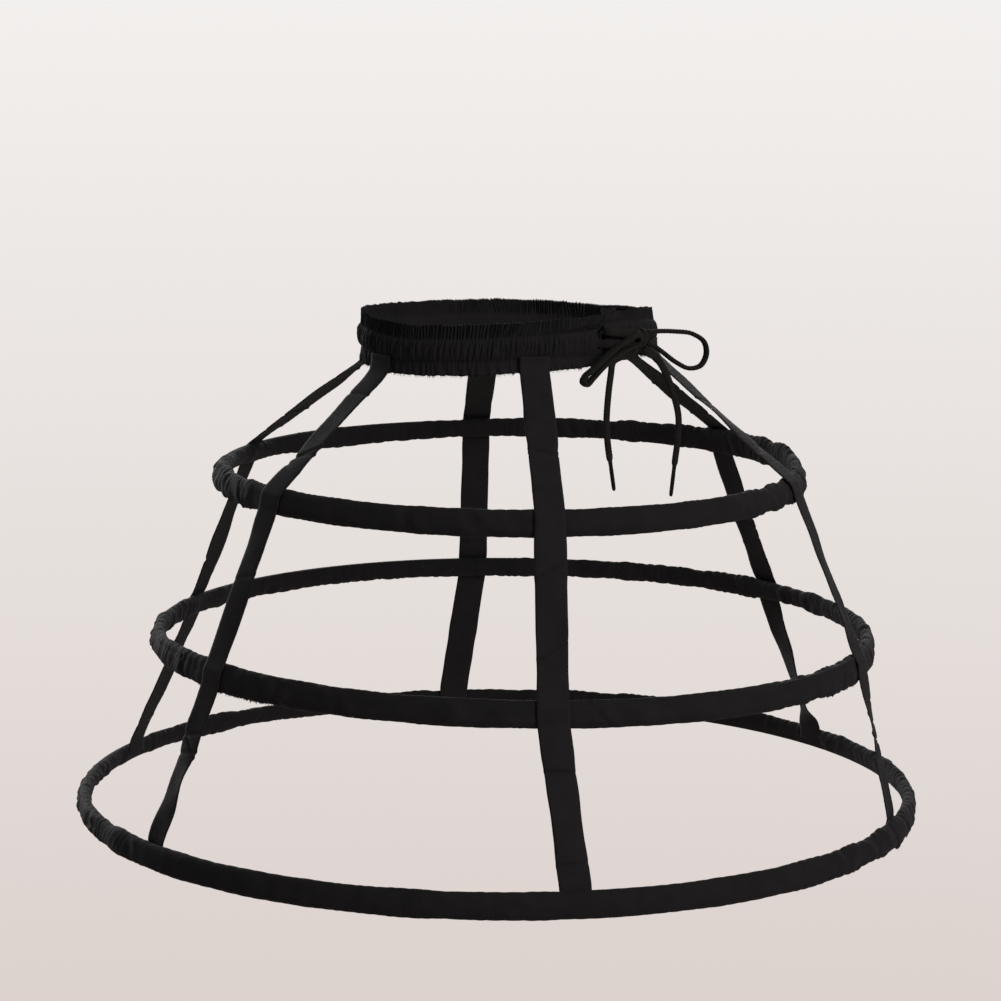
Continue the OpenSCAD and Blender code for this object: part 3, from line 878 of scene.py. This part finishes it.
# Depths and widths of the casing's puckers, dents and creases
pucker_depth = 2.1
outer_pucker = 8.0
inside_pucker = 8.5
pucker_lean = 0.7
dent_depth = 1.8
long_crease_depth = 0.9
long_crease_width = 1.0
long_crease_swing = 5
deep_crease_depth = 1.5
deep_crease_width = 1.3
# The lower seam presses a groove into the cloth, so far above its lower edge
groove_height = 2.4
groove_depth = 0.5
groove_width = 0.6
# The casing's edges wave and pucker up and down, and are eaten away where they are worn
edge_wave = 1.0
edge_pucker = 1.1
edge_pucker_width = 9
worn_depth = 1.6
worn_nibble = 2.4
worn_fade = 4
worn_fibre = 0.4
# How much of the full pucker shows at each direction round the wearer, in degrees from the front
pucker_directions = [-180, -160, -120, -106, -92, -10, 12, 24, 36, 55, 100, 150, 180]
pucker_shares = [0.8, 1.0, 1.0, 0.6, 0.12, 0.06, 0.12, 0.35, 0.8, 1.0, 0.7, 0.9, 0.8]
casing_fullness = {"top": 1.0, "middle": 1.0, "bottom": 0.6}
# How ragged its edges are there
ragged_directions = [-180, -115, -100, -10, 10, 45, 80, 110, 180]
ragged_shares = [0.9, 0.9, 0.35, 0.3, 1.3, 1.6, 1.3, 0.9, 0.9]
# Single deep creases: their directions in degrees and how far they slant
deep_creases = {
    "top": [(-124, 0.5), (-113, 0.8), (18, -0.6)],
    "middle": [(-112, 0.7), (-37.5, 0.9), (12, -0.5), (27, 0.4)],
    "bottom": [(-117, 0.2), (17, 0.6), (23, 0.9)],
}
# Fibres that stand out of each casing's lower edge, from one direction to another in degrees, and how many:
# first all round, then where the edge is worn
worn_places = {
    "top": [(-180, 180, 70), (-125, -105, 20), (15, 40, 40)],
    "middle": [(-180, 180, 80), (-107, -88, 130), (5, 25, 60)],
    "bottom": [(-180, 180, 90), (15, 32, 60)],
}
# Height of each casing as a share of the full height, its sag, its depth and its lean in degrees,
# at directions round the wearer
casing_directions = [-180, -165, -150, -130, -110, -50, 0, 30, 50, 75, 105, 135, 160, 180]
casing_heights = {
    "top": [0.8, 0.78, 0.8, 0.95, 1.06, 1.06, 1.04, 1.0, 1.1, 1.06, 0.86, 0.78, 0.85, 0.8],
    "middle": [0.8, 0.82, 0.85, 0.95, 1.08, 1.06, 1.08, 1.06, 0.95, 0.88, 0.84, 0.82, 0.82, 0.8],
    "bottom": [0.82, 0.78, 0.72, 0.75, 1.0, 1.06, 1.06, 1.0, 0.88, 0.84, 0.84, 0.82, 0.82, 0.82],
}
casing_sags = {
    "top": [-1.6, -1.4, -0.5, 0.5, 0.5, 0, 0, 0.8, 3.6, 3.4, 1.5, 0, -2.0, -1.6],
    "middle": [-1.6, -1.7, -0.5, 0.5, 2.0, 0, -3.0, -2.5, -1.0, 0, -0.5, -1.7, -1.7, -1.6],
    "bottom": [0, 0, -0.8, -0.5, 0, 0, 0, 1.5, 2.3, 1.9, 1.9, 0, 0, 0],
}
casing_depths = {
    "top": [1.0, 1.05, 1.25, 1.3, 1.08, 1.0, 1.0, 1.05, 1.2, 1.1, 1.0, 1.0, 1.0, 1.0],
    "middle": [1.0, 1.0, 1.1, 1.1, 1.05, 1.0, 1.0, 1.05, 1.2, 1.1, 1.0, 1.0, 1.0, 1.0],
    "bottom": [1.0, 1.0, 1.1, 1.1, 1.05, 1.0, 1.0, 1.05, 1.1, 1.1, 1.0, 1.0, 1.0, 1.0],
}
usual_lean = 14
lean_fade = (12, 40)
casing_leans = {
    "top": [14, 24, 34, 34, 20, 14, 16, 34, 6, 0, 10, 14, 14, 14],
    "middle": [14, 14, 16, 18, 14, 14, 14, 14, 14, 14, 14, 14, 14, 14],
    "bottom": [usual_lean] * len(casing_directions),
}
# The cloth never comes nearer to the steel than this, half across and half up
steel_room = (3.1, 5.9)


def casing_value(table, direction):
    """A value of a casing's table at directions round the wearer."""
    return np.interp((np.degrees(direction) + 180) % 360 - 180, casing_directions, table)


def hoop_point(place, direction, distance, up):
    """Points in a direction and at a distance from a hoop's middle, and up from its level."""
    x, y, z = np.broadcast_arrays(distance * np.sin(direction), -distance * np.cos(direction), up)
    return place + np.stack([x, y, z], -1)


def casing_rings(name, radius, place, tape_number, seed):
    """Rings of the puckered cloth of one casing, round from the seam at the wearer's back."""
    direction = np.linspace(-pi, pi, casing_stations, endpoint=False)
    degrees = np.degrees(direction)
    run = direction * radius
    from_end = radius * pi - np.abs(run)
    share = np.interp(degrees, pucker_directions, pucker_shares) * fade_in(from_end, 0, casing_end_fade)
    loose = 1
    for angles in tape_angles.values():
        from_tape = (direction - radians(angles[tape_number]) + pi) % (2 * pi) - pi
        loose = loose * (1 - tape_hold_share * ridge(from_tape * radius, tape_hold, 4))
    loose = loose[:, None]
    share = share[:, None] * loose * casing_fullness[name]
    ragged = np.interp(degrees, ragged_directions, ragged_shares)[:, None]
    worn = 0
    for start, end, _ in worn_places[name][1:]:
        begun = fade_in(degrees, start, start + worn_fade)
        worn = worn + begun * fade_in(-degrees, -end, worn_fade - end)
    grow = casing_value(casing_heights[name], direction)[:, None]
    sag = casing_value(casing_sags[name], direction)[:, None]
    deep = casing_value(casing_depths[name], direction)[:, None]
    tilt = np.radians(casing_value(casing_leans[name], direction))
    tilt = (tilt * fade_in(from_end, *lean_fade))[:, None]
    a = ring_angles(casing_corners)
    height = casing_half_height * filled_out(np.sin(a), casing_roundness)
    to_edge = np.abs(height) / casing_half_height
    side = np.sign(np.cos(a))
    depth = deep * casing_half_depth * np.clip(1 - to_edge**3, 0, 1) ** 0.6
    run = run[:, None]
    lean = pucker_lean * drift(run, 30, seed) * height * side
    near = puffs(run + lean, outer_pucker, seed + 1, 0.6)
    far = puffs(run - lean + 3, inside_pucker, seed + 2, 0.6)
    pucker = np.where(side > 0, near, far) * (0.6 + 0.4 * drift(run, 17, seed + 3))
    crease_height = long_crease_swing * drift(run, 60, seed + 4)
    crease = -long_crease_depth * ridge(height - crease_height, long_crease_width)
    crease = crease * fade_in(drift(run, 45, seed + 5), 0, 0.4)
    groove = -groove_depth * ridge(height + casing_half_height - groove_height, groove_width)
    dent = dent_depth * drift(run + 0.9 * height, 10, seed + 8) * drift(run - 1.3 * height, 17, seed + 9)
    out = pucker_depth * (pucker - 0.35) * share + (crease * (side > 0) + dent) * loose + groove
    for crease_direction, slant in deep_creases[name]:
        from_crease = run - radians(crease_direction) * radius + slant * height
        out = out - deep_crease_depth * ridge(from_crease, deep_crease_width) * (side > 0)
    out = out * (1 - to_edge**6)
    edge_puckers = puffs(run, edge_pucker_width, seed + 7) - 0.5
    wave = edge_wave * drift(run, 16, seed + 6) + edge_pucker * edge_puckers
    up = height * grow + wave * ragged * np.sign(height) * to_edge**2
    eaten = worn_depth * np.reshape(worn, (-1, 1)) * puffs(run, worn_nibble, seed + 10)
    up = up - eaten * (height < 0) * to_edge**2
    across = side * (depth + out)
    aside = across * np.cos(tilt) - up * np.sin(tilt)
    up = up * np.cos(tilt) + across * np.sin(tilt) + sag
    room = ((aside / steel_room[0]) ** 4 + (up / steel_room[1]) ** 4) ** 0.25
    distance = radius + aside * np.maximum(1, 1 / room)
    up = up * np.maximum(1, 1 / room)
    return hoop_point(place, direction[:, None], distance, up)


def lining_rings(radius, place):
    """Rings of the casing's inside, round the steel."""
    direction = np.linspace(-pi, pi, lining_stations, endpoint=False)[:, None]
    a = ring_angles(lining_corners)
    distance = radius + lining_half_depth * filled_out(np.cos(a), lining_roundness)
    up = lining_half_height * filled_out(np.sin(a), lining_roundness)
    return hoop_point(place, direction, distance, up)


def casing_stitches(rings, radius, place):
    """A row of stitches along the casing's lower seam."""
    made = []
    count = round(2 * pi * radius / stitch_pitch)
    for number in range(count):
        i = number * casing_stations // count
        j = (i + max(1, round(stitch_length / (2 * pi * radius) * casing_stations))) % casing_stations
        out = unit((rings[i, seam_corner] - place) * [1, 1, 0])
        made.append(stitch_skin(rings[i, seam_corner], rings[j, seam_corner], out))
    return made


def casing_fray(rings, places, seed):
    """Short fibres along the casing's lower edge."""
    chance = np.random.default_rng(seed)
    made = []
    for start, end, count in places:
        thickness = fray_thickness if end - start > 90 else worn_fibre
        for degrees in chance.uniform(start, end, count):
            i = int((degrees + 180) / 360 * casing_stations) % casing_stations
            root = rings[i, lowest_corner] + fray_root
            spread = np.array([*chance.normal(0, 0.5, 2), -chance.uniform(0.2, 1)])
            tip = root + unit(spread) * chance.uniform(0.5, 1.9)
            made.append(fray_skin(root, tip, chance.normal(0, 0.25, 3), thickness))
    return made


for number, (name, (radius, place)) in enumerate(hoops.items()):
    rings = casing_rings(name, radius, place, number + 1, 100 + 20 * number)
    skins = [skin(rings, closed=True), skin(lining_rings(radius, place), closed=True, inward=True)]
    casing = new_piece(f"casing_{name}_cloth", skins, black_cotton, [f"casing_{name}"])
    stitches = casing_stitches(rings, radius, place)
    new_piece(f"casing_{name}_stitches", stitches, sewing_thread)
    fibres = casing_fray(rings, worn_places[name], 160 + number)
    new_piece(f"casing_{name}_fray", fibres, black_cotton)

# Tapes
# Six cotton tapes in herringbone twill, 22 mm wide, hang from the waistband's lower edge and carry the hoops.
# Each is sewn over the top and middle casings and to the inner side of the bottom casing.
tape_width = 22.0
tape_thickness = 1.0
tape_across = 13
tape_step = 1.0
tape_soft = 3.0
# Where a tape's upper end is sewn on: out from the waist's line and up from the drawstring
tape_lap = [(6.9, -7.5), (6.5, -10.0), (7.7, -19.0)]
tape_clear = 1.4
# Where a tape comes over a casing's upper edge: out from the steel and up
tape_bend = (1.8, 9.0)
# It lies on the casing from this far above the steel to as far below it
tape_flat = 4.5
# Its lower end lies inside the bottom casing, from this far above the steel, clear of the casing's inner face
tape_tuck = 9.6
tape_tuck_gap = 0.3
casing_reach = 4.85
# How far its edges sway and draw in, its edges and its middle buckle, and its face ripples
tape_edge_sway = 0.35
tape_narrowing = 0.5
tape_edge_buckle = 0.9
tape_cupping = 0.7
tape_ripple = 0.06
# Rows of stitches keep this far from a tape's upper end, and from where it leaves a casing
end_row = 1.5
casing_row = 0.5
stitch_share = 1.35

# A tape is free to buckle from this far off a casing, and fully so from there on
tape_freed = (8, 30)
# How far each tape turns on itself in its three free spans, in degrees, and where along the span
twist_span = (0.05, 0.97)
tape_twists = {
    "right_front": ((0, 0.5), (3, 0.5), (-3, 0.5)),
    "left_front": ((-5, 0.4), (-11, 0.5), (-11, 0.35)),
    "left_side": ((-5, 0.5), (0, 0.5), (25, 0.84)),
    "left_back": ((4, 0.5), (-5, 0.5), (6, 0.5)),
    "right_back": ((13, 0.4), (2, 0.5), (1, 0.5)),
    "right_side": ((4, 0.5), (3, 0.5), (12, 0.7)),
}
crease_count = 9
crease_width = 1.5
crease_slant = 0.7
first_crease = 30
# Shallowest and deepest crease of each tape: the one at the front is the most rumpled
crease_depths = dict.fromkeys(tape_twists, (0.4, 1.0)) | {"right_front": (1.2, 2.4)}

twill_pitch = 0.0012
twill_band = 0.0055
twill_yarn_pitch = 0.0004
twill_yarn_share = 0.3
twill_tape, tree, shader = new_material("twill_tape")
fade(tree, shader, patch_size=0.015, dark=(0.0052, 0.0046, 0.0048), pale=(0.0125, 0.011, 0.0113))
soft_cotton(shader)
twill_along, twill_across = cloth_coordinates(tree)
chevron = reckon(tree, "PINGPONG", twill_across, twill_band)
twill_line = threads(tree, reckon(tree, "ADD", twill_along, chevron), twill_pitch)
twill_yarn = threads(tree, twill_across, twill_yarn_pitch)
twill_height = reckon(tree, "MULTIPLY_ADD", twill_yarn, twill_yarn_share, twill_line)
raise_surface(tree, shader, twill_height, depth=0.00012, strength=0.25)


def tape_line(angles):
    """Corners of a tape's line from the waistband over the casings, and the direction across it at each."""
    band, top, middle, bottom = (radians(angle) for angle in angles)
    t = np.arctan2(waist_half_depth * sin(band), waist_half_width * cos(band))
    corners = [waist_point(t, out, up) for out, up in tape_lap]
    across = [unit(np.array([waist_half_width * cos(t), waist_half_depth * sin(t), 0]))] * 3
    for name, direction in (("top", top), ("middle", middle)):
        radius, place = hoops[name]
        reach = casing_half_depth * casing_value(casing_depths[name], direction) + tape_clear
        turn = radians(casing_value(casing_leans[name], direction) - usual_lean)
        sag = casing_value(casing_sags[name], direction)
        for out, up in (tape_bend, (reach, tape_flat), (reach, -tape_flat)):
            distance = radius + out * cos(turn) - up * sin(turn)
            corners.append(hoop_point(place, direction, distance, up * cos(turn) + out * sin(turn) + sag))
        across += [np.array([cos(direction), sin(direction), 0])] * 3
    radius, place = hoops["bottom"]
    edge_distance = radius - casing_reach - tape_tuck_gap
    inside = np.sqrt(edge_distance**2 - (tape_width / 2) ** 2) - tape_thickness / 2
    corners += [hoop_point(place, bottom, inside, up) for up in (tape_tuck, 0)]
    across += [np.array([cos(bottom), sin(bottom), 0])] * 2
    return np.array(corners), np.array(across)


def softened(values, step, soft):
    """Values along a line with their corners rounded off, the two ends kept."""
    reach = int(4 * soft / step)
    weights = np.exp(-((np.arange(-reach, reach + 1) * step / soft) ** 2) / 2)
    before = 2 * values[0] - values[reach:0:-1]
    after = 2 * values[-1] - values[-2:-reach - 2:-1]
    padded = np.concatenate([before, values, after])
    return np.column_stack([np.convolve(padded[:, k], weights / weights.sum(), "valid") for k in range(3)])


def tape_rings(angles, twists, crease_depth, seed):
    """Rings round a tape: its outer face across, then its inner face back."""
    corners, across = tape_line(angles)
    places = lengths_along(corners)
    even = np.linspace(0, places[-1], round(places[-1] / tape_step) + 1)
    line = softened(points_at(even, places, corners), tape_step, tape_soft)
    side = points_at(even, places, across)
    ahead = unit(np.gradient(line, axis=0))
    side = unit(side - (side * ahead).sum(1, keepdims=True) * ahead)
    out = np.cross(side, ahead)
    out = out * np.sign((out * line).sum(1, keepdims=True))
    twist = 0 * even
    for first, (degrees, peak) in zip((2, 5, 8), twists):
        share = (even - places[first]) / (places[first + 1] - places[first])
        begun = fade_in(share, twist_span[0], peak)
        twist = twist + radians(degrees) * begun * (1 - fade_in(share, peak, twist_span[1]))
    turn_cos, turn_sin = np.cos(twist)[:, None], np.sin(twist)[:, None]
    side, out = side * turn_cos + out * turn_sin, out * turn_cos - side * turn_sin
    free = np.min([np.abs(even - place) for place in places[3:-2]], axis=0)
    free = fade_in(np.minimum(free, even), *tape_freed)[:, None]
    share = np.linspace(-1, 1, tape_across)
    narrower = tape_narrowing * fade_in(drift(even, 30, seed + 1), 0, 1)
    width = tape_width / 2 + (tape_edge_sway * drift(even, 14, seed) - narrower)[:, None]
    wide = share * width
    buckle = tape_edge_buckle * drift(even, 26, seed + 2)[:, None] * share
    buckle = buckle + tape_cupping * drift(even, 19, seed + 3)[:, None] * share**2
    lift = buckle * free - wide**2 / (2 * np.hypot(line[:, 0], line[:, 1])[:, None])
    lift = lift + tape_ripple * folds(even, 5, seed + 4)[:, None]
    chance = np.random.default_rng(seed + 5)
    for _ in range(crease_count):
        from_crease = even[:, None] - chance.uniform(first_crease, places[-1])
        from_crease = from_crease - chance.uniform(-crease_slant, crease_slant) * wide
        lift = lift - chance.uniform(*crease_depth) * ridge(from_crease, crease_width) * free
    half = tape_thickness / 2 * (0.75 + 0.35 * np.abs(share) ** 4 - 0.5 * np.abs(share) ** 24)
    face = line[:, None] + side[:, None] * wide[..., None] + out[:, None] * (lift + half)[..., None]
    back = line[:, None] + side[:, None] * wide[..., None] + out[:, None] * (lift - half)[..., None]
    return np.concatenate([face, back[:, ::-1]], axis=1), even, places, out


def tape_stitches(rings, even, places, out):
    """Rows of stitches across a tape where it is sewn down."""
    rows = [places[0] + end_row, places[1]]
    for upper, lower in ((4, 5), (7, 8)):
        rows += [places[upper] + casing_row, places[lower] - casing_row]
    made = []
    for place in rows:
        i = int(np.argmin(np.abs(even - place)))
        for k in range(1, tape_across - 2, 2):
            start, end = rings[i, k], rings[i, k + 1]
            made.append(stitch_skin(start, start + (end - start) * stitch_share, out[i]))
    return made


for number, (name, angles) in enumerate(tape_angles.items()):
    seed = 300 + 10 * number
    rings, even, places, out = tape_rings(angles, tape_twists[name], crease_depths[name], seed)
    tape = new_piece(f"tape_{name}_twill", [skin(rings)], twill_tape, [f"tape_{name}"])
    stitches = tape_stitches(rings, even, places, out)
    new_piece(f"tape_{name}_stitches", stitches, sewing_thread)

# Floor, backdrop and light
# A plain pale studio: soft lamps at the right front, behind at the left and at the back, and a pale surround.
# The floor lies well below the hem and takes only the cage's soft shadow.
floor_level = -1.05
floor_radius = 1.45
floor_segments = 96
backdrop_low = (0.716, 0.645, 0.617)
backdrop_high = (0.898, 0.876, 0.863)
lamp_target = np.array([0, 0, -0.2])

world = bpy.data.worlds.new("studio")
bpy.context.scene.world = world
world.use_nodes = True
tree = world.node_tree
seen = tree.nodes["Background"]
ambient = tree.nodes.new("ShaderNodeBackground")
ambient.inputs["Color"].default_value = (1.0, 0.985, 0.97, 1)
ambient.inputs["Strength"].default_value = 0.36
place = tree.nodes.new("ShaderNodeTexCoord")
split = tree.nodes.new("ShaderNodeSeparateXYZ")
tree.links.new(place.outputs["Generated"], split.inputs[0])
rise = tree.nodes.new("ShaderNodeMapRange")
rise.inputs["From Min"].default_value = -0.3
rise.inputs["From Max"].default_value = -0.03
tree.links.new(split.outputs["Z"], rise.inputs["Value"])
tint(tree, rise.outputs["Result"], backdrop_low, backdrop_high, seen.inputs["Color"])
path = tree.nodes.new("ShaderNodeLightPath")
mix = tree.nodes.new("ShaderNodeMixShader")
direct = reckon(tree, "MAXIMUM", path.outputs["Is Camera Ray"], path.outputs["Is Glossy Ray"])
tree.links.new(reckon(tree, "MAXIMUM", direct, path.outputs["Is Transmission Ray"]), mix.inputs["Fac"])
tree.links.new(ambient.outputs[0], mix.inputs[1])
tree.links.new(seen.outputs[0], mix.inputs[2])
tree.links.new(mix.outputs[0], tree.nodes["World Output"].inputs["Surface"])

floor_mesh = bpy.data.meshes.new("floor")
drawn = bmesh.new()
bmesh.ops.create_circle(drawn, cap_ends=True, radius=floor_radius, segments=floor_segments)
drawn.to_mesh(floor_mesh)
drawn.free()
floor = new_object("floor", floor_mesh)
floor.location.z = floor_level
pale_floor, tree, shader = new_material("pale_floor")
shader.inputs["Base Color"].default_value = (*backdrop_low, 1)
shader.inputs["Roughness"].default_value = 0.9
place = tree.nodes.new("ShaderNodeTexCoord")
measure = tree.nodes.new("ShaderNodeVectorMath")
measure.operation = "LENGTH"
tree.links.new(place.outputs["Object"], measure.inputs[0])
edge = tree.nodes.new("ShaderNodeMapRange")
edge.inputs["From Min"].default_value = 0.5 * floor_radius
edge.inputs["From Max"].default_value = 0.98 * floor_radius
edge.inputs["To Min"].default_value = 1
edge.inputs["To Max"].default_value = 0
tree.links.new(measure.outputs["Value"], edge.inputs["Value"])
tree.links.new(edge.outputs["Result"], shader.inputs["Alpha"])
floor_mesh.materials.append(pale_floor)


def new_lamp(name, place, size, power):
    """A square soft lamp that shines at the middle of the cage."""
    data = bpy.data.lights.new(name, "AREA")
    data.size = size
    data.energy = power
    back = unit(place - lamp_target)
    aside = unit(np.cross(upwards, back))
    stand(new_object(name, data), place, aside, np.cross(back, aside), back)


new_lamp("left_lamp", -1.6 * image_right - 2.2 * nearer + 0.4 * upwards, size=1.4, power=62)
new_lamp("front_lamp", 1.7 * image_right + 2.0 * nearer + 1.0 * upwards, size=1.2, power=74)
new_lamp("back_lamp", 0.45 * image_right - 2.7 * nearer + 0.8 * upwards, size=1.2, power=42)

bpy.context.scene.view_settings.view_transform = "Standard"
